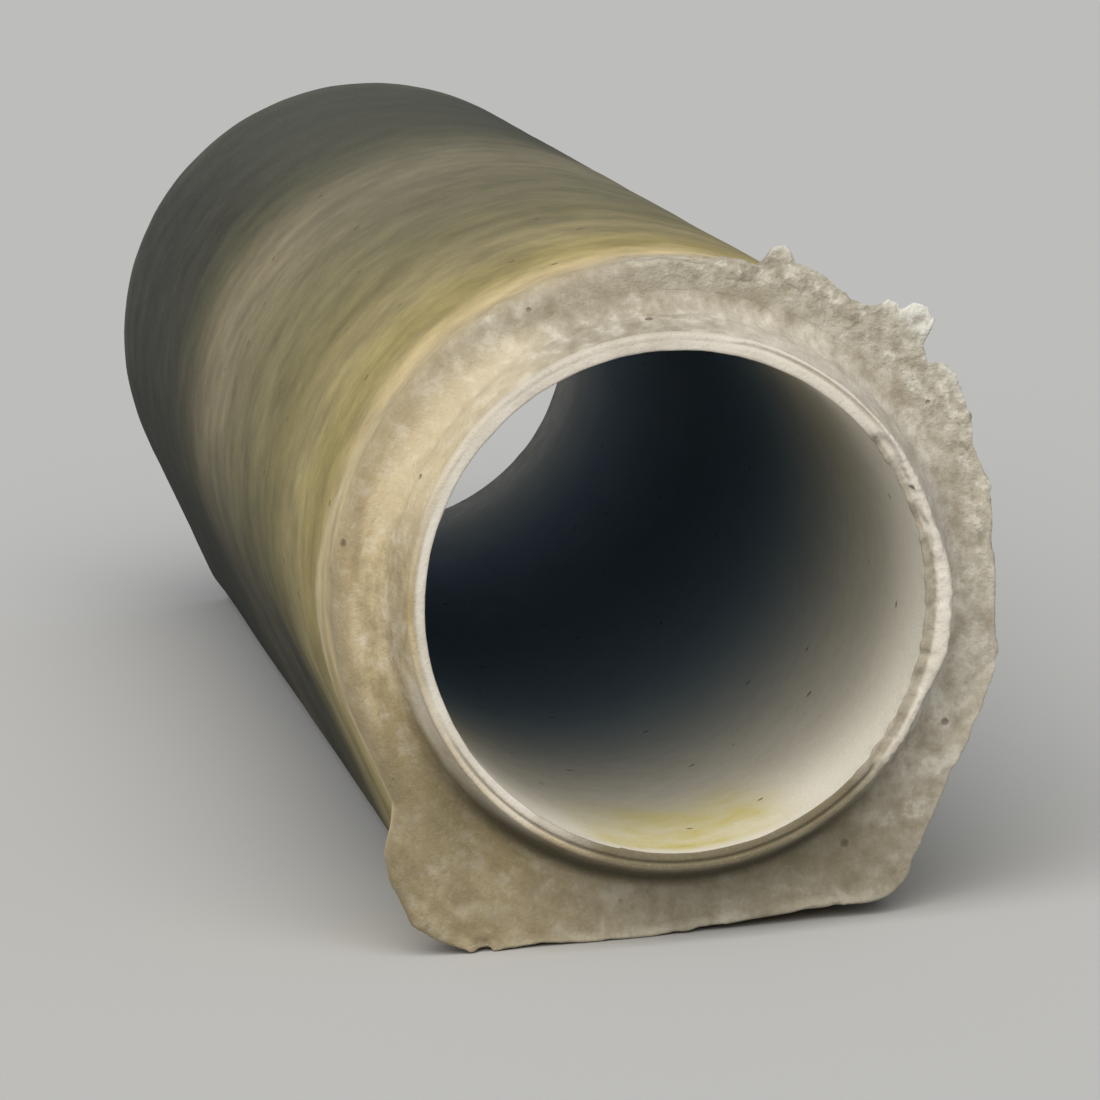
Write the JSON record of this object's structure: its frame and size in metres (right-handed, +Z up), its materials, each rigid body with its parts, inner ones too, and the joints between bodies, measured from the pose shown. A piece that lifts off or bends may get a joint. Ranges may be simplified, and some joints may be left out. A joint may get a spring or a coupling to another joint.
{
  "type": "concrete pipe",
  "caption": "Footed concrete drain pipe with a round bore, a tapered tongue at one end and the matching groove at the other.",
  "frame": {"origin": "on the floor, under the middle of the overall length and of the foot", "axes": "+Y along the bore, from the tongue end to the groove end; +Z up; +X to the right when facing +Y"},
  "size_m": [0.3998, 1.537, 0.408],
  "materials": {
    "concrete": "rough cast, weathered, with algae stains"
  },
  "bodies": {
    "root": {"concrete_pipe": "concrete"}
  },
  "joints": []
}
